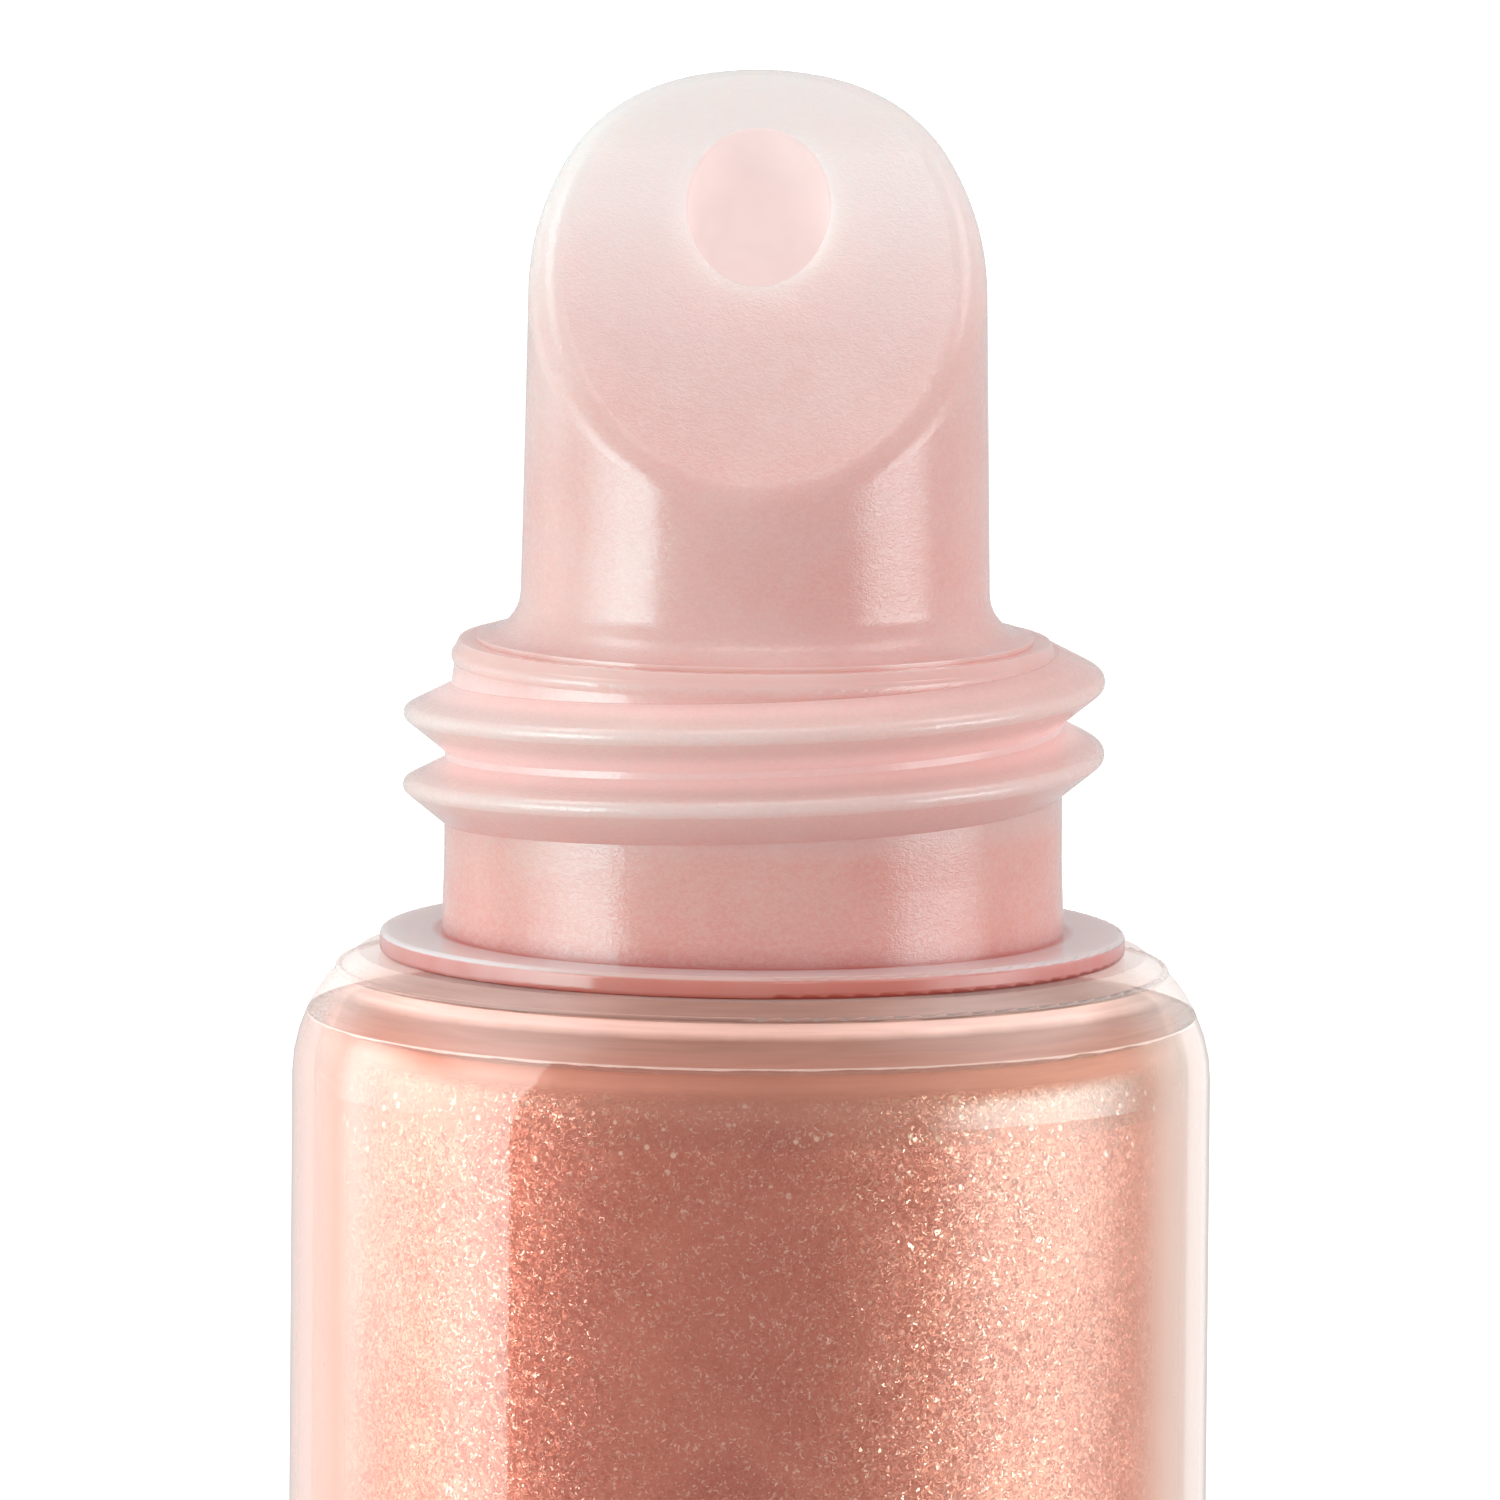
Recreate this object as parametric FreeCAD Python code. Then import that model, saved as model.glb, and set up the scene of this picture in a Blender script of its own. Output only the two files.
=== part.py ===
import FreeCAD, Part
import math
import os

from FreeCAD import Vector

# Lip gloss squeeze tube without its cap, standing on its sealed bottom edge.
# Millimetres. The origin is the middle of the bottom edge, +Z runs up to the
# tip, and the slanted face of the tip looks towards -Y. The flat seal runs
# along X.

# Sleeve: a soft extruded tube, round at the top and sealed flat at the bottom
tube_diameter = 19.0
sleeve_wall = 0.45
body_length = 78.0          # bottom edge to where the shoulder starts to round over
round_length = 12.0         # stretch under the shoulder that stays round
seal_height = 6.0
seal_thickness = 0.95
mouth_thickness = 1.5       # body thickness just above the seal
seal_groove_pitch = 1.2
seal_groove_width = 0.5
seal_groove_depth = 0.12
sleeve_lap_angle = 25.4     # how far round the shoulder the sleeve's end reaches

# Shoulder: the clear head that the sleeve's end is welded round
shoulder_radius = 3.1
seat_angle = 55.7           # how far the rounding runs before the level seat cuts it off
shoulder_thickness = 1.1    # under the level seat
throat_radius = 8.43        # of the shoulder's level underside
skirt_length = 0.4
skirt_edge = 0.08           # the skirt tapers to this thickness at its lower edge
skirt_bulge = 0.08          # how far its inner face bows out
ridge_angle = 46.0
ridge_radius = 0.07
spigot_radius = 5.2
spigot_wall = 1.0
spigot_lead = 0.5           # chamfer round the spigot's top
snap_bead_depth = 0.2
snap_bead_drop = 1.1        # bead's middle below the spigot's top

# Applicator: flange, threaded neck and slanted tip in one moulding
flange_radius = 7.71
flange_thickness = 0.46
flange_edge_radius = 0.12
neck_radius = 6.44
thread_root_radius = 6.39
collar_radius = 6.21
bead_radius = 6.27
bead_drop = 0.31            # collar bead below the land
rim_radius = 6.12
land_height = 6.5           # sealing land above the flange seat
roof_thickness = 1.35       # between the neck bore's end and the land
foot_radius = 5.77
foot_step = 0.1
column_radius = 4.85
column_draft = 0.98         # degrees
slant_angle = 44.6          # slope of the face, degrees from level
slant_rise = 3.5            # lower front edge of the face above the land
slant_edge_radius = 0.74
nose_start = 1.74           # where the face starts to round over, behind the axis
nose_radius = 8.0
orifice_radius = 1.45
orifice_offset = 0.68       # channel's axis behind the tube's axis
orifice_edge_radius = 0.06
cavity_radius = 3.6
cavity_top_radius = 2.4
cavity_cone_rise = 2.1      # start of the cavity's cone above the land
face_wall = 1.0             # between the cavity's top and the slanted face

# External thread for the cap, right-handed
thread_pitch = 1.5
thread_turns = 2.05
thread_end_angle = 72.0     # upper end, degrees round from +X
thread_end_drop = 0.5       # crest at the upper end below the land
thread_crest_radius = 7.25
thread_crest_rounding = 0.2
thread_upper_flank = 27.0   # degrees from the radial direction
thread_lower_flank = 39.0
thread_fade_turns = 0.16
thread_root_overlap = 0.1   # how deep the flanks run into the neck
thread_turn_gap = 0.02      # least room between the flanks of two turns

# Fits
weld_clearance = 0.02       # between the sleeve's bore and the shoulder inside it
snap_clearance = 0.05       # between spigot and neck bore
spigot_top_clearance = 0.15
fill_clearance = 0.03       # between the gloss and the walls round it
fill_bottom_gap = 3.0       # gloss starts this far above the seal
fill_taper = 0.6            # gloss draws in over this height below the skirt

tube_radius = tube_diameter / 2
bore_radius = tube_radius - sleeve_wall
corner_radius = tube_radius - shoulder_radius
round_bottom = body_length - round_length
seat_z = body_length + shoulder_radius * math.sin(math.radians(seat_angle))
under_z = seat_z - shoulder_thickness
land_z = seat_z + land_height
skirt_radius = bore_radius - weld_clearance
foot_top_z = land_z + foot_step + foot_radius - column_radius
spigot_bore = spigot_radius - spigot_wall
spigot_top_z = land_z - roof_thickness - spigot_top_clearance
snap_bead_z = spigot_top_z - snap_bead_drop
neck_bore = spigot_radius + snap_clearance
far = 2 * body_length


def line(start, end):
    return Part.LineSegment(start, end).toShape()


def arc(start, middle, end):
    return Part.Arc(start, middle, end).toShape()


def at(radius, height):
    """Point of a turned profile."""
    return Vector(radius, 0, height)


def on_corner(radius, angle):
    """Point on a circle round the centre of the shoulder's rounding."""
    turn = math.radians(angle)
    return at(corner_radius + radius * math.cos(turn), body_length + radius * math.sin(turn))


def path(points):
    """Edges of straight lines through the points, in order."""
    return [line(points[i], points[i + 1]) for i in range(len(points) - 1)]


def turned(edges):
    """Solid of revolution about Z from the edges of a closed profile."""
    face = Part.Face(Part.Wire(edges))
    return face.revolve(Vector(0, 0, 0), Vector(0, 0, 1), 360)


def half_thickness(height):
    """Half the body's thickness: a straight wedge from the round stretch to the seal."""
    share = (round_bottom - height) / (round_bottom - seal_height)
    return tube_radius - (tube_radius - mouth_thickness / 2) * share


def half_width(half_depth):
    """Half the width of a flattened tube whose way round stays that of the round tube."""
    power = math.log(2) / math.log(math.pi / 2)
    return ((math.pi * tube_radius / 2) ** power - half_depth ** power) ** (1 / power)


def flattened_body(bottom, inset):
    """Loft of the body up to its round stretch, its surface moved inwards by inset."""
    steps = 8
    wires = []
    for i in range(steps + 1):
        height = bottom + (round_bottom - bottom) * i / steps
        depth = half_thickness(height)
        width = max(half_width(depth), depth)
        oval = Part.Ellipse(Vector(0, 0, height), width - inset, depth - inset)
        halves = [Part.Arc(oval, 0, math.pi), Part.Arc(oval, math.pi, 2 * math.pi)]
        wires.append(Part.Wire([half.toShape() for half in halves]))
    return Part.makeLoft(wires, True, False)


def seal():
    """Flat sealed end with a few pressed grooves along each side."""
    width = half_width(0)
    depth = seal_thickness / 2
    plate = Part.makeBox(2 * (width - depth), seal_thickness, seal_height,
                         Vector(depth - width, -depth, 0))
    for side in (-1, 1):
        end = Part.makeCylinder(depth, seal_height, Vector(side * (width - depth), 0, 0))
        plate = plate.fuse(end)
    grooves = int(seal_height / seal_groove_pitch) - 1
    for i in range(grooves):
        height = seal_groove_pitch * (i + 1) - seal_groove_width / 2
        for side in (-1, 1):
            middle = side * (depth + seal_groove_depth)
            groove = Part.makeBox(4 * width, 4 * seal_groove_depth, seal_groove_width,
                                  Vector(-2 * width, middle - 2 * seal_groove_depth, height))
            plate = plate.cut(groove)
    return plate


def make_sleeve():
    """Welded round the shoulder at the top, flattened and sealed at the bottom."""
    lap = sleeve_lap_angle
    inner = shoulder_radius - sleeve_wall
    top = turned(path([at(bore_radius, body_length), at(bore_radius, round_bottom),
                       at(tube_radius, round_bottom), at(tube_radius, body_length)]) + [
        arc(on_corner(shoulder_radius, 0), on_corner(shoulder_radius, lap / 2),
            on_corner(shoulder_radius, lap)),
        line(on_corner(shoulder_radius, lap), on_corner(inner, lap)),
        arc(on_corner(inner, lap), on_corner(inner, lap / 2), on_corner(inner, 0)),
    ])
    body = flattened_body(seal_height, 0)
    hollow = flattened_body(seal_height + fill_bottom_gap, sleeve_wall)
    return body.cut(hollow).fuse(seal()).fuse(top).removeSplitter()


def snap_bead(radius):
    """Ring with a round bead that stands out from a cylinder of the given radius."""
    low = snap_bead_z - 2 * snap_bead_depth
    high = snap_bead_z + 2 * snap_bead_depth
    inside = radius - snap_bead_depth
    edges = path([at(radius, high), at(inside, high), at(inside, low), at(radius, low)])
    bulge = arc(at(radius, low), at(radius + snap_bead_depth, snap_bead_z), at(radius, high))
    return turned(edges + [bulge])


def throat(gap):
    """Inner face of the shoulder's skirt from its lower edge up, moved inwards by gap."""
    low = at(skirt_radius - skirt_edge - gap, body_length - skirt_length - gap)
    high = at(throat_radius - gap, under_z - gap)
    return arc(low, (low + high) / 2 + Vector(skirt_bulge, 0, 0), high), low, high


def make_shoulder():
    """Rounded head with a rebate for the sleeve's end and a spigot for the applicator."""
    lap = sleeve_lap_angle
    outer = shoulder_radius
    rebate = shoulder_radius - sleeve_wall - weld_clearance
    inner_face, low, high = throat(0)
    head = turned(path([
        high, at(spigot_bore, under_z), at(spigot_bore, spigot_top_z),
        at(spigot_radius - spigot_lead, spigot_top_z),
        at(spigot_radius, spigot_top_z - spigot_lead), at(spigot_radius, seat_z),
        on_corner(outer, seat_angle),
    ]) + [
        arc(on_corner(outer, seat_angle), on_corner(outer, (seat_angle + lap) / 2),
            on_corner(outer, lap)),
        line(on_corner(outer, lap), on_corner(rebate, lap)),
        arc(on_corner(rebate, lap), on_corner(rebate, lap / 2), on_corner(rebate, 0)),
    ] + path([
        on_corner(rebate, 0), at(skirt_radius, low.z), low,
    ]) + [inner_face])
    middle = on_corner(shoulder_radius, ridge_angle)
    ridge = Part.makeTorus(middle.x, ridge_radius, Vector(0, 0, middle.z))
    return head.fuse(ridge).fuse(snap_bead(spigot_radius)).removeSplitter()


def thread_profile():
    """Edges of the thread's section: rounded crest, two flanks and a root inside the neck."""
    up = math.radians(thread_upper_flank)
    down = math.radians(thread_lower_flank)
    rounding = thread_crest_rounding
    middle = thread_crest_radius - rounding
    upper = at(middle + rounding * math.sin(up), rounding * math.cos(up))
    lower = at(middle + rounding * math.sin(down), -rounding * math.cos(down))
    slopes = math.tan(up) + math.tan(down)
    apex_width = upper.z - lower.z + upper.x * math.tan(up) + lower.x * math.tan(down)
    valley = (apex_width - (thread_pitch - thread_turn_gap)) / slopes
    root = max(valley, thread_root_radius - thread_root_overlap)
    base = root - 4 * thread_root_overlap
    high = upper.z + (upper.x - root) * math.tan(up)
    low = lower.z - (lower.x - root) * math.tan(down)
    return path([at(base, low), at(root, low), lower]) + [
        arc(lower, at(thread_crest_radius, 0), upper),
    ] + path([upper, at(root, high), at(base, high), at(base, low)])


def thread_section(turn):
    """The thread's section in its place, sunk into the neck near the thread's two ends."""
    share = min(turn, thread_turns - turn, thread_fade_turns) / thread_fade_turns
    sunk = thread_crest_radius - collar_radius + thread_root_overlap
    inwards = sunk * (1 - share * share * (3 - 2 * share))
    height = land_z - thread_end_drop - thread_pitch * (thread_turns - turn)
    section = Part.Wire(thread_profile())
    section.translate(Vector(-inwards, 0, height))
    section.rotate(Vector(0, 0, 0), Vector(0, 0, 1),
                   thread_end_angle - 360 * (thread_turns - turn))
    return section


def thread():
    """Helical ridge that fades into the neck at both ends."""
    steps = math.ceil(24 * thread_turns)
    sections = [thread_section(thread_turns * i / steps) for i in range(steps + 1)]
    return Part.makeLoft(sections, True, False)


def neck_and_flange():
    """Flange, neck, collar bead, land and foot, up to the bottom of the column."""
    edge = flange_edge_radius
    edge_middle = edge * (1 - math.sqrt(0.5))
    top = seat_z + flange_thickness
    bead = land_z - bead_drop
    bead_out = bead_radius - collar_radius
    foot = land_z + foot_step
    blend_middle = (foot_radius - column_radius) * (1 - math.sqrt(0.5))
    return turned([
        line(at(0, seat_z), at(flange_radius - edge, seat_z)),
        arc(at(flange_radius - edge, seat_z),
            at(flange_radius - edge_middle, seat_z + edge_middle),
            at(flange_radius, seat_z + edge)),
        line(at(flange_radius, seat_z + edge), at(flange_radius, top - edge)),
        arc(at(flange_radius, top - edge), at(flange_radius - edge_middle, top - edge_middle),
            at(flange_radius - edge, top)),
    ] + path([
        at(flange_radius - edge, top), at(neck_radius, top),
        at(thread_root_radius, top + thread_pitch),
        at(thread_root_radius, bead - thread_pitch),
        at(collar_radius, bead - 3 * bead_out),
    ]) + [
        arc(at(collar_radius, bead - 3 * bead_out), at(bead_radius, bead),
            at(collar_radius, bead + 2 * bead_out)),
    ] + path([
        at(collar_radius, bead + 2 * bead_out), at(rim_radius, land_z),
        at(foot_radius, land_z), at(foot_radius, foot),
    ]) + [
        arc(at(foot_radius, foot), at(column_radius + blend_middle, foot + blend_middle),
            at(column_radius, foot_top_z)),
    ] + path([at(column_radius, foot_top_z), at(0, foot_top_z), at(0, seat_z)]))


def face_height(depth):
    """Height of the slanted face's plane at a place along Y."""
    slope = math.tan(math.radians(slant_angle))
    return land_z + slant_rise + (depth + column_radius) * slope


def slant_cutter():
    """Everything above the slanted face: a plane that rounds over into a nose at the back."""
    slant = math.radians(slant_angle)
    start = Vector(-far, -far, face_height(-far))
    bend = Vector(-far, nose_start, face_height(nose_start))
    middle_y = bend.y + nose_radius * math.sin(slant)
    middle_z = bend.z - nose_radius * math.cos(slant)
    half = Vector(-far, middle_y - nose_radius * math.sin(slant / 2),
                  middle_z + nose_radius * math.cos(slant / 2))
    level = Vector(-far, middle_y, middle_z + nose_radius)
    outline = path([start, bend]) + [arc(bend, half, level)] + path([
        level, Vector(-far, far, level.z), Vector(-far, far, 2 * far),
        Vector(-far, -far, 2 * far), start,
    ])
    return Part.Face(Part.Wire(outline)).extrude(Vector(2 * far, 0, 0))


def tip():
    """Drafted column cut off on the slant, with the cut's edge rounded."""
    height = face_height(column_radius) - foot_top_z
    lean = height * math.tan(math.radians(column_draft))
    column = Part.makeCone(column_radius, column_radius - lean, height,
                           Vector(0, 0, foot_top_z))
    cut = column.cut(slant_cutter())
    rims = [edge for edge in cut.Edges
            if edge.BoundBox.ZMin > foot_top_z and edge.Curve.TypeId != "Part::GeomLine"]
    return cut.makeFillet(slant_edge_radius, rims)


def flow_path():
    """Neck bore, cavity and the channel that leads out through the slanted face."""
    bore_top = spigot_top_z + spigot_top_clearance
    cone = land_z + cavity_cone_rise
    slant = math.radians(slant_angle)
    top = face_height(-cavity_top_radius) - face_wall / math.cos(slant)
    points = [
        at(0, under_z), at(neck_bore, under_z), at(neck_bore, bore_top),
        at(cavity_radius, bore_top), at(cavity_radius, cone), at(cavity_top_radius, top),
        at(0, top), at(0, under_z),
    ]
    channel_height = face_height(column_radius) - cone
    channel = Part.makeCylinder(orifice_radius, channel_height,
                                Vector(0, orifice_offset, cone))
    return turned(path(points)).fuse(snap_bead(neck_bore)).fuse(channel)


def is_orifice_edge(edge):
    """Whether an edge runs round the channel's mouth in the slanted face."""
    if edge.Curve.TypeId == "Part::GeomLine" or edge.BoundBox.ZMin < land_z + slant_rise:
        return False
    middle = edge.CenterOfMass
    return math.hypot(middle.x, middle.y - orifice_offset) < orifice_radius


def make_applicator():
    """Snaps over the shoulder's spigot; its flange rests on the shoulder's seat."""
    body = neck_and_flange().fuse(tip()).fuse(thread()).removeSplitter()
    open_body = body.cut(flow_path())
    mouth = [edge for edge in open_body.Edges if is_orifice_edge(edge)]
    return open_body.makeFillet(orifice_edge_radius, mouth)


def make_gloss():
    """Fill of the tube, from just above the seal to the top of the spigot."""
    gap = fill_clearance
    spout = spigot_bore - gap
    side = bore_radius - gap
    top_face, low, high = throat(gap)
    body = flattened_body(seal_height + fill_bottom_gap + gap, sleeve_wall + gap)
    head = turned(path([
        high, at(spout, high.z), at(spout, spigot_top_z), at(0, spigot_top_z),
        at(0, round_bottom), at(side, round_bottom), at(side, low.z - fill_taper), low,
    ]) + [top_face])
    return body.fuse(head).removeSplitter()


pieces = {
    "sleeve": make_sleeve(),
    "shoulder": make_shoulder(),
    "applicator": make_applicator(),
    "gloss": make_gloss(),
}
os.makedirs("parts", exist_ok=True)
for name, shape in pieces.items():
    shape.exportStep("parts/" + name + ".step")
    print(name, "solids", len(shape.Solids), "valid", shape.isValid(),
          "volume", round(shape.Volume, 2))
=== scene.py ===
import math

import bpy
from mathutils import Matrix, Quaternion, Vector


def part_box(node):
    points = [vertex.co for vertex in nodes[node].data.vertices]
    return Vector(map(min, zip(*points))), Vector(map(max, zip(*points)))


# Looks for the lip gloss tube. Metres, +Z up the tube, the slanted face of the tip looks to -Y.
# In the pieces' dictionaries lengths are millimetres, and heights are counted from the seat
# that the applicator's flange rests on. A pair of values is where something starts and where it
# is in full, and three are the two ends of a stretch and how softly it fades there. A noise is
# its scale per mm, its detail and its distortion.

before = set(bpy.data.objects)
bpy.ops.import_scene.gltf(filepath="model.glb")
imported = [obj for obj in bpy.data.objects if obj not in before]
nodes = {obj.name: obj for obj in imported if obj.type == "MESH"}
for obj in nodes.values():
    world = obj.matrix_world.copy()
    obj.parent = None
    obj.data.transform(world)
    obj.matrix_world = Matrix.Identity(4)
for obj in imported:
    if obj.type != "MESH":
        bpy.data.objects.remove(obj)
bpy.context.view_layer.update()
millimetre = 0.001
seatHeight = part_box("applicator")[0].z
white, black = (1, 1, 1, 1), (0, 0, 0, 1)


class Wire:
    # a node's output that can be used in sums

    def __init__(self, graph, socket):
        self.graph = graph
        self.socket = socket

    def calc(self, operation, first, second=0.0):
        return self.graph.add("Math", {"operation": operation}, {0: first, 1: second})

    def __add__(self, other):
        return self.calc("ADD", self, other)

    def __radd__(self, other):
        return self.calc("ADD", other, self)

    def __sub__(self, other):
        return self.calc("SUBTRACT", self, other)

    def __rsub__(self, other):
        return self.calc("SUBTRACT", other, self)

    def __mul__(self, other):
        return self.calc("MULTIPLY", self, other)

    def __rmul__(self, other):
        return self.calc("MULTIPLY", other, self)

    def __truediv__(self, other):
        return self.calc("DIVIDE", self, other)

    def __pow__(self, other):
        return self.calc("POWER", self, other)

    def most(self, other):
        return self.calc("MAXIMUM", self, other)

    def least(self, other):
        return self.calc("MINIMUM", self, other)

    def step(self, low, high):
        # smooth 0 to 1 as the value goes from low to high, or 1 to 0 where low is the larger
        return self.graph.add("MapRange", {"interpolation_type": "SMOOTHSTEP"},
                              {"Value": self, "From Min": low, "From Max": high})

    def band(self, low, high, soft):
        # 1 between low and high, fading over soft on each side
        return self.step(low - soft, low) * self.step(high + soft, high)

    def blend(self, first, second):
        # colour that goes from first to second as the value goes from 0 to 1
        return self.graph.add("Mix", {"data_type": "RGBA"}, {0: self, 6: first, 7: second}, 2)

    def ramp(self, stops):
        return self.graph.add("ValToRGB", {"stops": stops}, {"Fac": self})


class Graph:
    # node tree of one material, lamp or world

    def __init__(self, tree):
        self.tree = tree
        tree.nodes.clear()

    def add(self, kind, settings=None, inputs=None, output=0):
        node = self.tree.nodes.new("ShaderNode" + kind)
        for name, value in (settings or {}).items():
            if name == "stops":
                setStops(node.color_ramp, value)
            else:
                setattr(node, name, value)
        for name, value in (inputs or {}).items():
            if isinstance(value, Wire):
                self.tree.links.new(value.socket, node.inputs[name])
            else:
                node.inputs[name].default_value = value
        if not node.outputs:
            return None
        return Wire(self, node.outputs[output])

    def position(self):
        # place on the object in millimetres, with the height counted from the flange's seat
        place = self.add("TexCoord", output="Object")
        return self.add("VectorMath", {"operation": "MULTIPLY_ADD"},
                        {0: place, 1: (1000, 1000, 1000), 2: (0, 0, -seatHeight * 1000)})

    def split(self, vector):
        parts = self.add("SeparateXYZ", inputs={0: vector})
        return [Wire(self, parts.socket.node.outputs[i]) for i in range(3)]

    def noise(self, place, scale, detail=2.0, distortion=0.0, output=0):
        return self.add("TexNoise", inputs={"Vector": place, "Scale": scale, "Detail": detail,
                                            "Distortion": distortion}, output=output)

    def cells(self, place, scale, output="Distance"):
        return self.add("TexVoronoi", inputs={"Vector": place, "Scale": scale}, output=output)

    def scaled(self, vector, factors):
        return self.add("VectorMath", {"operation": "MULTIPLY"}, {0: vector, 1: factors})

    def bump(self, height, depth, strength=1.0):
        return self.add("Bump", inputs={"Height": height, "Distance": depth * millimetre,
                                        "Strength": strength})

    def slant(self, low, high):
        # 0 where the surface faces the eye, 1 where it is seen on the slant
        return self.add("LayerWeight", output="Facing").step(low, high)

    def mixed(self, factor, first, second):
        return self.add("MixShader", inputs={0: factor, 1: first, 2: second})


def setStops(ramp, stops):
    while len(ramp.elements) > 1:
        ramp.elements.remove(ramp.elements[-1])
    for i, (place, colour) in enumerate(stops):
        element = ramp.elements[0] if i == 0 else ramp.elements.new(place)
        element.position = place
        element.color = colour


def tone(red, green, blue):
    # colour as a screen shows it, 0 to 255, turned into Blender's linear values
    values = [c / 255 for c in (red, green, blue)]
    return tuple(c / 12.92 if c <= 0.04045 else ((c + 0.055) / 1.055) ** 2.4
                 for c in values) + (1.0,)


def newMaterial(name, build):
    material = bpy.data.materials.new(name)
    material.use_nodes = True
    graph = Graph(material.node_tree)
    graph.add("OutputMaterial", inputs={"Surface": build(graph)})
    return material


def dress(nodeName, material):
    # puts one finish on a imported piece
    piece = nodes[nodeName]
    piece.data.materials.clear()
    piece.data.materials.append(material)
    for face in piece.data.polygons:
        face.material_index = 0


# applicator: translucent pink moulding, finely grained, paler towards the tip
applicatorLook = {
    # painted light in these stops: the paler ones from 3.4 to 4.8 mm lift the shade in the
    # valleys between the thread's turns, and the lowest stop is lifted against the shade under
    # the flange
    "tones": [                             # height, colour
        (0.0, tone(222, 126, 122)),
        (0.46, tone(218, 132, 126)),
        (0.9, tone(230, 150, 140)),
        (2.6, tone(232, 160, 150)),
        (3.4, tone(232, 184, 179)),
        (4.8, tone(236, 196, 192)),
        (6.3, tone(230, 176, 170)),
        (8.0, tone(230, 168, 161)),
        (10.5, tone(226, 168, 162)),
        (13.0, tone(226, 182, 177)),
        (15.5, tone(236, 213, 211)),
        (18.0, tone(242, 228, 226)),
    ],
    "cloudTone": tone(242, 218, 214),      # the colour drifts towards this in soft clouds
    "cloudShare": 0.12,
    "cloudNoise": (0.45, 3.0, 0.4),
    "cloudSpread": (0.35, 0.7),
    "threadTone": tone(230, 180, 174),     # thicker plastic of the thread looks milkier
    "threadShare": 0.3,
    "threadRadius": (6.45, 6.9),
    "threadHeight": (1.2, 2.0),
    # painted reflection: the flange's level top turns near white where it mirrors the bright
    # surroundings
    "flangeSheenTone": tone(244, 220, 220),     # level top of the thin flange
    "flangeSheenShare": 0.75,
    "flangeRadius": (6.5, 6.7),
    "flangeTop": (0.4, 0.6, 0.04),
    # painted shade and painted reflection of the dark fill on the front of the flange's rim
    "rimShadeTone": tone(184, 102, 80),         # front of the flange's rim, against the dark fill
    "rimShadeShare": 0.5,
    "rimRadius": (7.5, 7.65),
    "rimHeight": (0.5, 0.44),
    "rimFront": (-5.0, -7.6),
    "roughness": 0.09,
    "smoothRoughness": 0.16,               # flange and land
    "smoothLand": (6.25, 6.62, 0.05),
    "smoothFlange": (0.52, 0.46),
    "grainSize": (0.13, 0.08),             # along and up the leathery grain
    "grainNoise": (1.0, 1.5, 1.4),         # at that size
    "grainSpread": (0.3, 0.7),
    "grainDepth": 0.003,
    # painted light: the tops of the grain are made paler as flecks of highlight
    "grainHighlight": 0.16,                    # how much paler the tops of the grain are
    "grainGloss": 0.08,                    # how far the roughness swings with the grain
    "drawnStretch": (9, 9, 1.1),           # upright drawn lines on the neck, per mm
    "drawnHeight": (0.5, 6.0, 0.2),
    "drawnShare": 0.6,                     # of the grain's depth
    "waveNoise": (1.6, 2.0, 0.5),          # slow unevenness under the grain
    "waveShare": 0.4,
    # painted glow that lifts the shade in the valley between the thread's turns
    "valleyLight": (0.14, 0.08, 0.075, 1), # what the thread's turns scatter into their valley
    "valleyRadius": (6.95, 6.5),
    "valleyHeight": (4.1, 5.6, 0.6),
    "ior": 1.45,
    "scatter": 0.6,
    "scatterDepth": 2.2,
    "scatterTint": (1.0, 0.6, 0.52),
    "boreRadius": (1.52, 1.49),            # channel behind the slanted face
    "boreHeight": (9, 10),
    "boreOffset": 0.68,                    # its axis behind the tube's axis
    "boreTone": tone(130, 104, 100),
    "boreLight": tone(230, 210, 207),      # what comes through the walls of the channel
    "boreGlow": 0.95,
    "boreDrift": 0.06,
    "boreSpread": (0.2, 0.8),
    "boreRoughness": 0.5,
    "boreSheen": 0.1,
}


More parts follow.
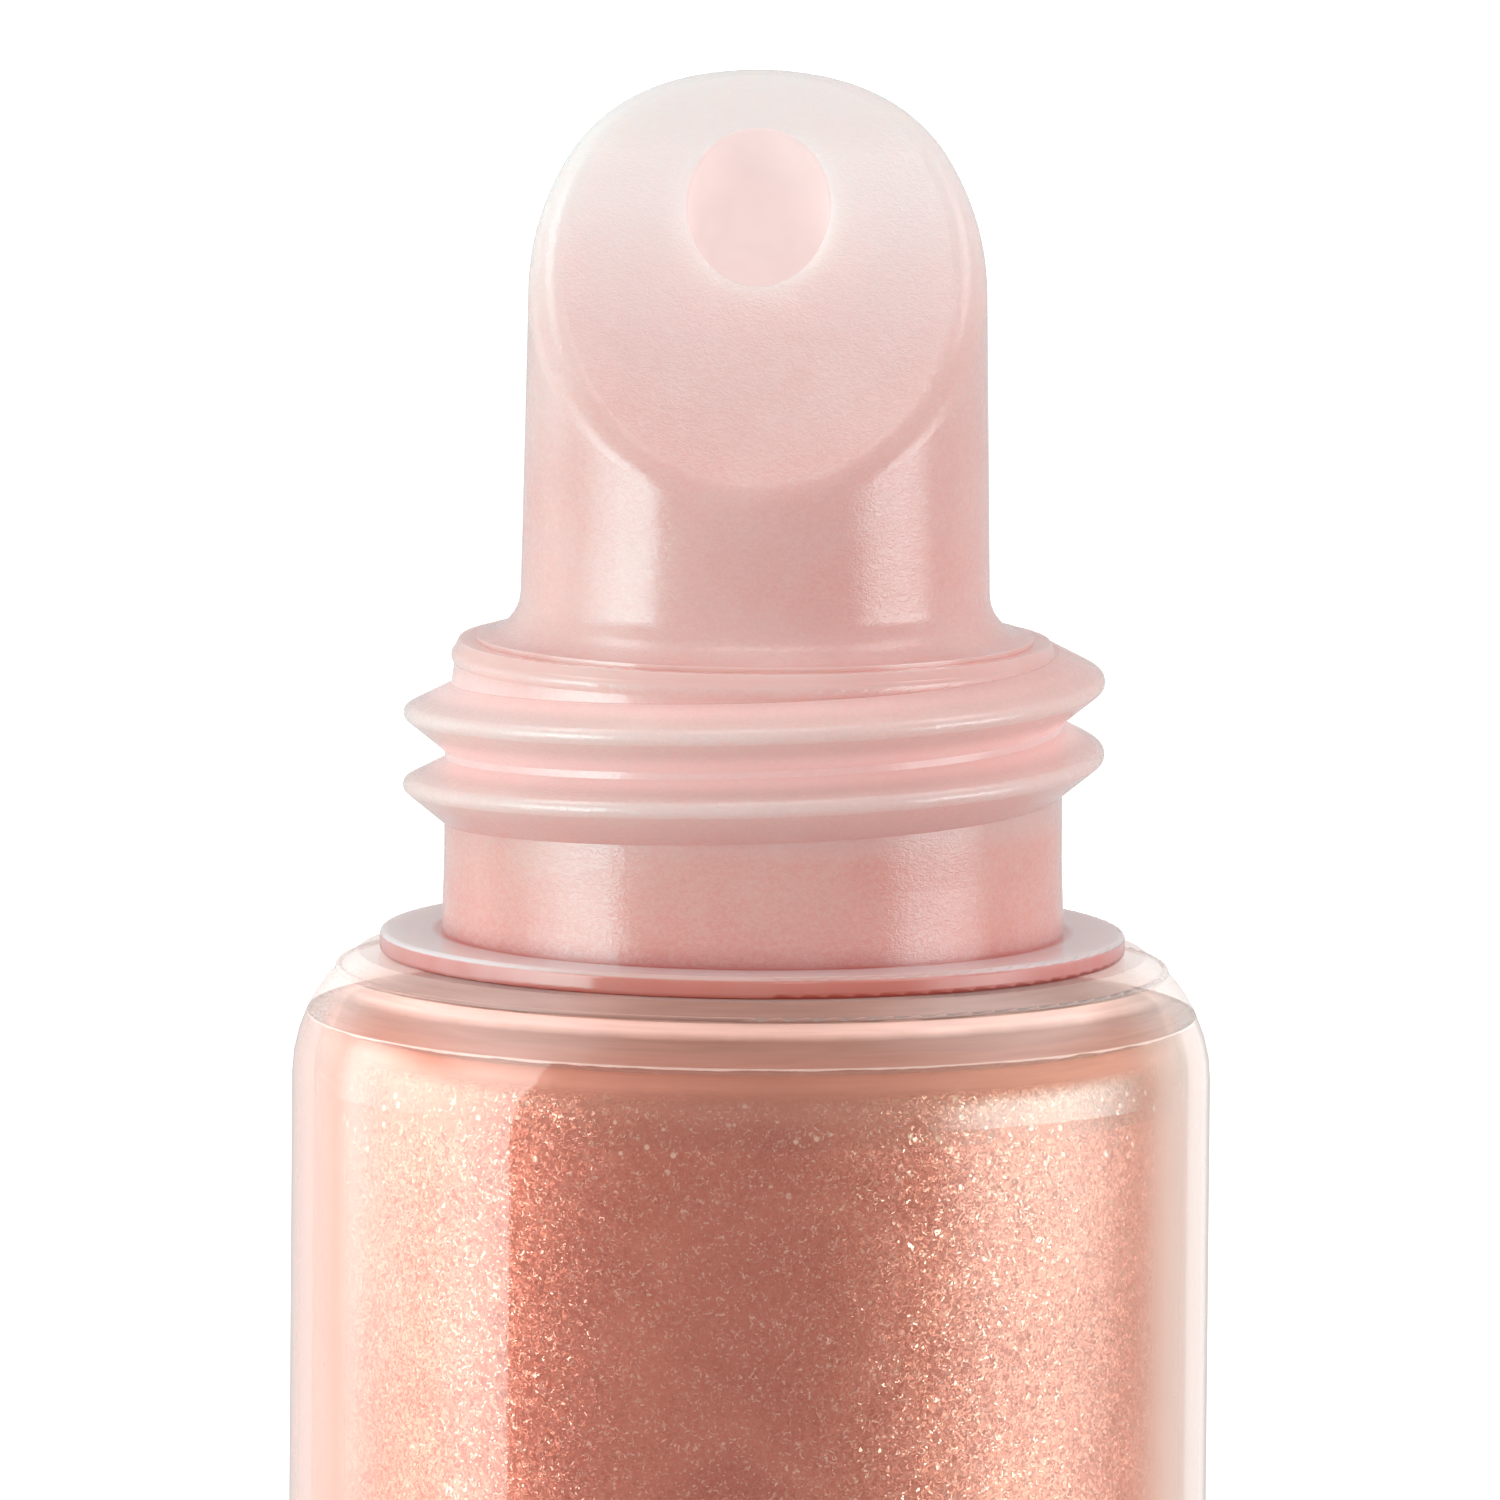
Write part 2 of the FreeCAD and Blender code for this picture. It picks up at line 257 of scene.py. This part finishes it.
def applicatorPlastic(graph):
    look = applicatorLook
    place = graph.position()
    across, depth, height = graph.split(place)
    out = (across * across + depth * depth) ** 0.5
    top = look["tones"][-1][0]
    colour = (height / top).ramp([(mm / top, shade) for mm, shade in look["tones"]])
    cloud = graph.noise(place, *look["cloudNoise"]).step(*look["cloudSpread"])
    colour = (cloud * look["cloudShare"]).blend(colour, look["cloudTone"])
    thread = out.step(*look["threadRadius"]) * height.step(*look["threadHeight"])
    colour = (thread * look["threadShare"]).blend(colour, look["threadTone"])
    # painted reflection on the flange's level top
    flange = out.step(*look["flangeRadius"]) * height.band(*look["flangeTop"])
    colour = (flange * look["flangeSheenShare"]).blend(colour, look["flangeSheenTone"])
    # painted shade and reflection of the dark fill, darkening the front of the flange's rim
    rim = (out.step(*look["rimRadius"]) * height.step(*look["rimHeight"])
           * depth.step(*look["rimFront"]))
    colour = (rim * look["rimShadeShare"]).blend(colour, look["rimShadeTone"])
    # fine grain all over, except on the flange and on the land under the tip
    smooth = height.band(*look["smoothLand"]).most(height.step(*look["smoothFlange"]))
    along, up = look["grainSize"]
    level = graph.scaled(place, (1 / along, 1 / along, 1 / up))
    grain = graph.noise(level, *look["grainNoise"]).step(*look["grainSpread"]) * (1 - smooth)
    wave = graph.noise(place, *look["waveNoise"])
    drawn = (graph.noise(graph.scaled(place, look["drawnStretch"]), 1.0)
             * height.band(*look["drawnHeight"]))
    # painted highlight flecks on the tops of the grain
    colour = (grain * look["grainHighlight"]).blend(colour, look["cloudTone"])
    relief = grain + wave * look["waveShare"] + drawn * look["drawnShare"]
    normal = graph.bump(relief, look["grainDepth"])
    rough, fine = look["roughness"], look["smoothRoughness"]
    roughness = rough + (grain - 0.5) * look["grainGloss"] + smooth * (fine - rough)
    # painted glow in the valley between the thread's turns, lifting its shade
    valley = height.band(*look["valleyHeight"]) * out.step(*look["valleyRadius"])
    plastic = graph.add("BsdfPrincipled", {"subsurface_method": "RANDOM_WALK"}, {
        "Base Color": colour, "Roughness": roughness, "Normal": normal,
        "IOR": look["ior"], "Subsurface Weight": look["scatter"],
        "Subsurface Radius": look["scatterTint"],
        "Subsurface Scale": look["scatterDepth"] * millimetre,
        "Emission Color": valley.blend(black, look["valleyLight"]), "Emission Strength": 1.0,
    })
    # the channel's wall glows with the light that comes through the plastic round it
    back = depth - look["boreOffset"]
    bore = (across * across + back * back) ** 0.5
    inBore = bore.step(*look["boreRadius"]) * height.step(*look["boreHeight"])
    drift = wave.step(*look["boreSpread"]) * look["boreDrift"]
    channel = graph.add("BsdfPrincipled", inputs={
        "Base Color": look["boreTone"], "Roughness": look["boreRoughness"],
        "Specular IOR Level": look["boreSheen"],
        "Emission Color": drift.blend(look["boreLight"], look["boreTone"]),
        "Emission Strength": look["boreGlow"],
    })
    return graph.mixed(inBore, plastic, channel)


dress("applicator", newMaterial("frostedPink", applicatorPlastic))
print("applicator dressed")


# gloss: copper rose fill with pearl and fine glitter
glossLook = {
    "deep": tone(195, 112, 93),
    "pale": tone(212, 134, 116),           # in slow swirls
    "swirlNoise": (0.35, 4.0, 0.8),
    "swirlSpread": (0.3, 0.72),
    # painted light: the fill is made paler right under the shoulder to lift the shade that the
    # shells above cast on it
    "top": tone(230, 172, 155),            # thinner colour right under the shoulder
    "topHeight": (-2.75, -1.7),
    "glint": tone(254, 232, 220),
    "glintShare": 0.7,
    "metal": 0.42,
    "ior": 1.45,
    "roughness": 0.38,
    "glitterRoughness": 0.23,
    "flakeSize": 0.046,
    "flakeTilt": 0.32,
    "flakeShade": 0.35,                    # how far the flakes differ in colour
    "flakeBend": 0.3,                      # draws the flakes out into short worms
    "bendNoise": (7.0, 1.0),
    "glitterShare": 0.16,                  # of the flakes, how many sparkle
    "fleckSize": 0.32,                     # pale flecks that float up under the shoulder
    "fleckEdge": (0.26, 0.14),
    "fleckHeight": (-4.6, -3.0),
    "fleckShare": 0.9,
    "fleckNoise": (1.7, 2.0),              # where they gather
    "fleckSpread": (0.5, 0.56),
    "coneHeight": (-3.62, -2.98, 0.02),    # where the fill draws in under the skirt
}


def glossFill(graph):
    look = glossLook
    place = graph.position()
    height = graph.split(place)[2]
    swirl = graph.noise(place, *look["swirlNoise"]).step(*look["swirlSpread"])
    # pearl flakes, each with a tilt and a shade of its own
    drift = graph.noise(place, *look["bendNoise"], output="Color")
    bent = graph.add("VectorMath", {"operation": "MULTIPLY_ADD"},
                     {0: drift, 1: (look["flakeBend"],) * 3, 2: place})
    flake = graph.cells(bent, 1 / look["flakeSize"], "Color")
    _, sparkle, shade = graph.split(flake)
    colour = swirl.blend(look["deep"], look["pale"])
    colour = (shade * look["flakeShade"]).blend(colour, look["top"])
    # painted light: paler fill right under the shoulder, lifting the shells' shade
    colour = height.step(*look["topHeight"]).blend(colour, look["top"])
    glint = sparkle.step(1 - look["glitterShare"], 1)
    colour = (glint * look["glintShare"]).blend(colour, look["glint"])
    fleck = graph.cells(place, 1 / look["fleckSize"]).step(*look["fleckEdge"])
    chosen = graph.noise(place, *look["fleckNoise"]).step(*look["fleckSpread"])
    flecks = fleck * chosen * height.step(*look["fleckHeight"])
    colour = (flecks * look["fleckShare"]).blend(colour, look["glint"])
    lean = graph.add("VectorMath", {"operation": "MULTIPLY_ADD"}, {
        0: flake, 1: (look["flakeTilt"],) * 3, 2: (-look["flakeTilt"] / 2,) * 3})
    # the short cone under the skirt is shaded like the straight side below it
    cone = height.band(*look["coneHeight"])
    level = graph.add("CombineXYZ", inputs={0: 1.0, 1: 1.0, 2: 1 - cone})
    outward = graph.scaled(graph.add("NewGeometry", output="Normal"), level)
    turned = graph.add("VectorMath", {"operation": "ADD"}, {0: outward, 1: lean})
    normal = graph.add("VectorMath", {"operation": "NORMALIZE"}, {0: turned})
    rough, fine = look["roughness"], look["glitterRoughness"]
    return graph.add("BsdfPrincipled", inputs={
        "Base Color": colour, "Roughness": rough - glint * (rough - fine),
        "Metallic": look["metal"], "Normal": normal, "IOR": look["ior"],
    })


dress("gloss", newMaterial("copperGloss", glossFill))
print("gloss dressed")


# clear plastics: thin shells that tint, haze and mirror
clearPlastic = {
    "ior": 1.47,
    "hazeRoughness": 0.45,
    "bumpStrength": 0.5,
}


def clearShell(graph, look, stain, haze, hazeColour, normal, gloss=1.0):
    # stain is how much of the tint one face gives, haze the share of milky plastic
    mirror = graph.add("BsdfGlossy", inputs={"Roughness": look["roughness"], "Normal": normal})
    bare = graph.add("BsdfTransparent", inputs={"Color": white})
    stained = graph.add("BsdfTransparent", inputs={"Color": look["tint"]})
    milk = graph.add("BsdfPrincipled", inputs={
        "Base Color": hazeColour, "Roughness": clearPlastic["hazeRoughness"],
        "Normal": normal})
    back = graph.add("NewGeometry", output="Backfacing")
    fresnel = graph.add("Fresnel", inputs={"IOR": clearPlastic["ior"], "Normal": normal})
    body = graph.mixed(haze, graph.mixed(stain, bare, stained), milk)
    return graph.mixed(fresnel * (1 - back) * gloss, body, mirror)


sleeveLook = {
    "tint": tone(254, 245, 241),           # what passes through one face
    "roughness": 0.06,
    "haze": 0.02,
    "hazeColour": tone(248, 206, 194),
    "edgeHaze": 0.5,                       # milkier where the wall is seen on the slant
    "edgeTone": tone(212, 182, 172),
    "edgeSlant": (0.45, 0.75),
    "edgeHeight": (-19, -12),              # further down it stays clear on the slant as well
    "lowEdge": 0.2,
    "streakStretch": (1.8, 1.8, 0.32),     # slow waves along the extruded wall, per mm
    "ripple": 0.004,
    "specks": 0.05,
    "speckNoise": (4.5, 1.0),
    "speckSpread": (0.66, 0.8),
    "end": (-1.265, -1.215, 0.02),         # the sleeve's end where it is welded on
    "endHaze": 0.5,
    "endWander": 0.12,
    "endNoise": (0.9, 3.0),
}


def sleeveClear(graph):
    look = sleeveLook
    place = graph.position()
    height = graph.split(place)[2]
    streak = graph.noise(graph.scaled(place, look["streakStretch"]), 1.0)
    speck = graph.noise(place, *look["speckNoise"]).step(*look["speckSpread"])
    wavy = height + (graph.noise(place, *look["endNoise"]) - 0.5) * look["endWander"]
    end = wavy.band(*look["end"])
    slant = graph.slant(*look["edgeSlant"])
    upper = height.step(*look["edgeHeight"]) * (1 - look["lowEdge"]) + look["lowEdge"]
    haze = (speck * look["specks"] + end * look["endHaze"] + slant * upper * look["edgeHaze"]
            + look["haze"]).least(1)
    colour = slant.blend(look["hazeColour"], look["edgeTone"])
    normal = graph.bump(streak, look["ripple"], clearPlastic["bumpStrength"])
    return clearShell(graph, look, 1.0, haze, colour, normal)


dress("sleeve", newMaterial("clearSleeve", sleeveClear))
print("sleeve dressed")


shoulderLook = {
    # the bands are painted light and shade: dark under the flange in its shadow, a pale band
    # where the rounding mirrors the overhead light, and a darker band below it
    "tones": [                             # depth under the seat, colour of the milky plastic
        (1.5, tone(252, 198, 180)),
        (1.2, tone(184, 126, 109)),
        (0.72, tone(178, 118, 101)),
        (0.56, tone(255, 196, 180)),
        (0.37, tone(254, 192, 176)),
        (0.34, tone(168, 120, 107)),
        (0.31, tone(172, 121, 107)),
        (0.0, tone(166, 117, 104)),
    ],
    "tint": tone(248, 228, 219),           # what passes through one face
    "roughness": 0.1,
    "gloss": 0.6,
    "haze": 0.6,
    "clearHeight": (-2.1, -1.6),           # further down, behind the sleeve, it is plain clear
    "slantTone": tone(252, 232, 225),      # the white round it shines through on the slant
    "slantEdge": (0.45, 0.8),
    "slantShare": 0.85,
    "slantHaze": 0.5,                      # how much haze and tint go there
    "slantStain": 0.8,
    "streakStretch": (0.45, 0.45, 9.0),    # level streaks, per mm
    "streaks": 0.3,
    "wispNoise": (0.9, 3.0, 0.5),          # lets the bands of colour wander
    "wander": 0.08,
    "ripple": 0.006,
}


def shoulderClear(graph):
    look = shoulderLook
    place = graph.position()
    height = graph.split(place)[2]
    low = look["tones"][0][0]
    wisp = graph.noise(place, *look["wispNoise"])
    streak = graph.noise(graph.scaled(place, look["streakStretch"]), 1.0, 3.0)
    wavy = height + (wisp - 0.5) * look["wander"]
    # painted bands of light and shade round the shoulder, by depth under the seat
    colour = ((wavy + low) / low).ramp([((low - mm) / low, shade)
                                        for mm, shade in look["tones"]])
    upper = height.step(*look["clearHeight"])
    slant = graph.slant(*look["slantEdge"])
    colour = (slant * look["slantShare"]).blend(colour, look["slantTone"])
    haze = ((look["haze"] + (streak - 0.5) * look["streaks"]) * upper
            * (1 - slant * look["slantHaze"]))
    normal = graph.bump(streak + wisp, look["ripple"], clearPlastic["bumpStrength"])
    stain = upper * (1 - slant * look["slantStain"])
    return clearShell(graph, look, stain, haze, colour, normal, upper * look["gloss"])


dress("shoulder", newMaterial("clearShoulder", shoulderClear))
print("shoulder dressed")


# camera, level with the neck and looking a little down
cameraSetup = {
    "distance": 0.65,
    "elevation": 6.9,                      # degrees
    "roll": 0.485,
    "width": 31.0 * millimetre,            # what the frame takes in at the tube's axis
    "target": Vector((-0.08, 0, 84.77)) * millimetre,
    "sensor": 36.0,
}


def addCamera():
    setup = cameraSetup
    data = bpy.data.cameras.new("camera")
    data.sensor_width = setup["sensor"]
    data.lens = setup["sensor"] * setup["distance"] / setup["width"]
    data.clip_start, data.clip_end = 0.01, 20.0
    camera = bpy.data.objects.new("camera", data)
    bpy.context.collection.objects.link(camera)
    angle = math.radians(setup["elevation"])
    back = Vector((0, -math.cos(angle), math.sin(angle)))
    camera.location = setup["target"] + back * setup["distance"]
    camera.rotation_mode = "QUATERNION"
    roll = Quaternion((0, 0, 1), math.radians(setup["roll"]))
    camera.rotation_quaternion = (-back).to_track_quat("-Z", "Y") @ roll
    return camera


camera = addCamera()
bpy.context.scene.camera = camera


# studio: white surroundings, a hard-edged box on the left, a broad one on the right
neutral, cool, cooler = (1.0, 1.0, 1.0), (0.82, 1.0, 1.0), (0.65, 1.0, 1.0)
moulding, shells = ["applicator"], ["sleeve", "shoulder"]
clearAndGloss, mouldingAndGloss = shells + ["gloss"], moulding + ["gloss"]

studio = {
    "ambient": 0.5,
    "mirrored": 0.3,                       # how much brighter reflections find the surroundings
    # azimuth from the camera towards the left, then elevation, in degrees. glow is how bright
    # the box is next to the white surroundings. soft is the share that fades out at its two
    # sides, then at its low and high edge; a left box has its second side towards the camera
    # and a right box its first. lights names the pieces it is flagged for, or all of them.
    "boxes": {
        "leftStrip": {"azimuth": 76.5, "elevation": 2, "distance": 0.3, "size": (0.3, 0.24),
                      "glow": 9.0, "soft": (0.8, 0.0, 0.3, 0.3), "tint": cooler,
                      "lights": moulding},
        "leftEdge": {"azimuth": 118, "elevation": 2, "distance": 0.3, "size": (0.2, 0.2),
                     "glow": 0.6, "soft": (0.4, 0.4, 0.3, 0.3), "tint": cool,
                     "lights": moulding},
        "leftWindow": {"azimuth": 77.3, "elevation": 27, "distance": 0.3, "size": (0.2, 0.52),
                       "glow": 7.8, "soft": (0.6, 0.0, 0.08, 0.85), "tint": cool,
                       "lights": shells},
        "leftGloss": {"azimuth": 80, "elevation": 4, "distance": 0.3, "size": (0.2, 0.26),
                      "glow": 6.8, "soft": (0.5, 0.15, 0.3, 0.2), "tint": cool,
                      "lights": ["gloss"]},
        "leftBroad": {"azimuth": 102, "elevation": 2, "distance": 0.3, "size": (0.3, 0.2),
                      "glow": 6.5, "soft": (0.3, 0.35, 0.3, 0.3), "tint": neutral,
                      "lights": clearAndGloss},
        "leftDome": {"azimuth": 98, "elevation": 50, "distance": 0.35, "size": (0.5, 0.34),
                     "glow": 4.0, "soft": (0.3, 0.5, 0.3, 0.3), "tint": neutral,
                     "lights": shells},
        "leftHigh": {"azimuth": 100, "elevation": 55, "distance": 0.35, "size": (0.2, 0.2),
                     "glow": 4.0, "soft": (0.3, 0.3, 0.4, 0.4), "tint": cool,
                     "lights": mouldingAndGloss},
        "rightBroad": {"azimuth": -80, "elevation": 0, "distance": 0.35, "size": (0.56, 0.18),
                       "glow": 10.5, "soft": (0.35, 0.45, 0.4, 0.4), "tint": cooler,
                       "lights": clearAndGloss},
        "rightRear": {"azimuth": -153, "elevation": 2, "distance": 0.3, "size": (0.16, 0.24),
                      "glow": 0.7, "soft": (0.3, 0.3, 0.3, 0.3), "tint": neutral,
                      "lights": ["sleeve"]},
        "rightDome": {"azimuth": -95, "elevation": 50, "distance": 0.35, "size": (0.5, 0.34),
                      "glow": 4.6, "soft": (0.5, 0.3, 0.3, 0.3), "tint": neutral,
                      "lights": shells},
        "rightSoft": {"azimuth": -74, "elevation": 2, "distance": 0.35, "size": (0.34, 0.2),
                      "glow": 7.3, "soft": (0.3, 0.4, 0.4, 0.4), "tint": cool,
                      "lights": moulding},
        "rightHigh": {"azimuth": -100, "elevation": 55, "distance": 0.35, "size": (0.2, 0.2),
                      "glow": 3.0, "soft": (0.3, 0.3, 0.4, 0.4), "tint": neutral,
                      "lights": mouldingAndGloss},
        "topBox": {"azimuth": 0, "elevation": 79, "distance": 0.4, "size": (0.36, 0.1),
                   "glow": 4.0, "soft": (0.3, 0.3, 0.3, 0.3), "tint": neutral,
                   "lights": None},
    },
    "floorRadius": 2.5,
    "floorTone": (0.82, 0.82, 0.82, 1),
    "floorRoughness": 0.9,
    "floorGlow": 0.3,                      # share of its white that it has near the tube
    "floorFade": (0.04, 0.3),              # metres from the tube, over which it turns white
}


def whiteToEye(graph):
    # 1 for what the camera sees, straight or through clear plastic, and less in reflections
    path = graph.add("LightPath", output="Is Camera Ray")
    outputs = path.socket.node.outputs
    through = Wire(graph, outputs["Is Transmission Ray"])
    mirrored = Wire(graph, outputs["Is Glossy Ray"]) * studio["mirrored"]
    return path.most(through).most(mirrored)


def buildWorld():
    world = bpy.data.worlds.new("studio")
    world.use_nodes = True
    bpy.context.scene.world = world
    graph = Graph(world.node_tree)
    strength = whiteToEye(graph) * (1 - studio["ambient"]) + studio["ambient"]
    light = graph.add("Background", inputs={"Color": white, "Strength": strength})
    graph.add("OutputWorld", inputs={"Surface": light})


def boxGlow(graph, soft):
    # emission that fades at the edges of the box
    across = graph.add("NewGeometry", output="Parametric")
    along, up, _ = graph.split(across)
    mask = 1.0
    for share, value in zip(soft, (along, 1 - along, up, 1 - up)):
        if share:
            mask = value.step(0, share) * mask
    glow = graph.add("Emission", inputs={"Strength": mask})
    graph.add("OutputLight", inputs={"Surface": glow})


def addBox(name, box):
    data = bpy.data.lights.new(name, "AREA")
    data.shape = "RECTANGLE"
    data.size, data.size_y = box["size"]
    data.energy = box["glow"] * math.pi * data.size * data.size_y
    data.color = box["tint"]
    data.use_nodes = True
    boxGlow(Graph(data.node_tree), box["soft"])
    lamp = bpy.data.objects.new(name, data)
    bpy.context.collection.objects.link(lamp)
    turn, rise = math.radians(box["azimuth"]), math.radians(box["elevation"])
    aim = Vector((-math.sin(turn) * math.cos(rise), -math.cos(turn) * math.cos(rise),
                  math.sin(rise)))
    lamp.location = cameraSetup["target"] + aim * box["distance"]
    lamp.rotation_mode = "QUATERNION"
    lamp.rotation_quaternion = aim.to_track_quat("Z", "Y")
    lamp.visible_camera = False
    if box["lights"]:
        lit = bpy.data.collections.new(name + "Lit")
        for piece in box["lights"]:
            lit.objects.link(nodes[piece])
        lamp.light_linking.receiver_collection = lit


def floorPaint(graph):
    # plain white card: pure white further out, with room for the shadow near the tube
    place = graph.add("TexCoord", output="Object")
    away = graph.add("VectorMath", {"operation": "LENGTH"}, {0: place}, "Value")
    near = studio["floorGlow"]
    glow = whiteToEye(graph) * (away.step(*studio["floorFade"]) * (1 - near) + near)
    return graph.add("BsdfPrincipled", inputs={
        "Base Color": studio["floorTone"], "Roughness": studio["floorRoughness"],
        "Specular IOR Level": 0.0, "Emission Color": glow.blend(black, white),
        "Emission Strength": 1.0})


def addFloor():
    mesh = bpy.data.meshes.new("floor")
    corners = 64
    ring = [(studio["floorRadius"] * math.cos(2 * math.pi * i / corners),
             studio["floorRadius"] * math.sin(2 * math.pi * i / corners), 0)
            for i in range(corners)]
    mesh.from_pydata(ring, [], [tuple(range(corners))])
    mesh.materials.append(newMaterial("whiteCard", floorPaint))
    floor = bpy.data.objects.new("floor", mesh)
    bpy.context.collection.objects.link(floor)


buildWorld()
for name, box in studio["boxes"].items():
    addBox(name, box)
addFloor()
bpy.context.scene.view_settings.view_transform = "Standard"
print("studio ready")
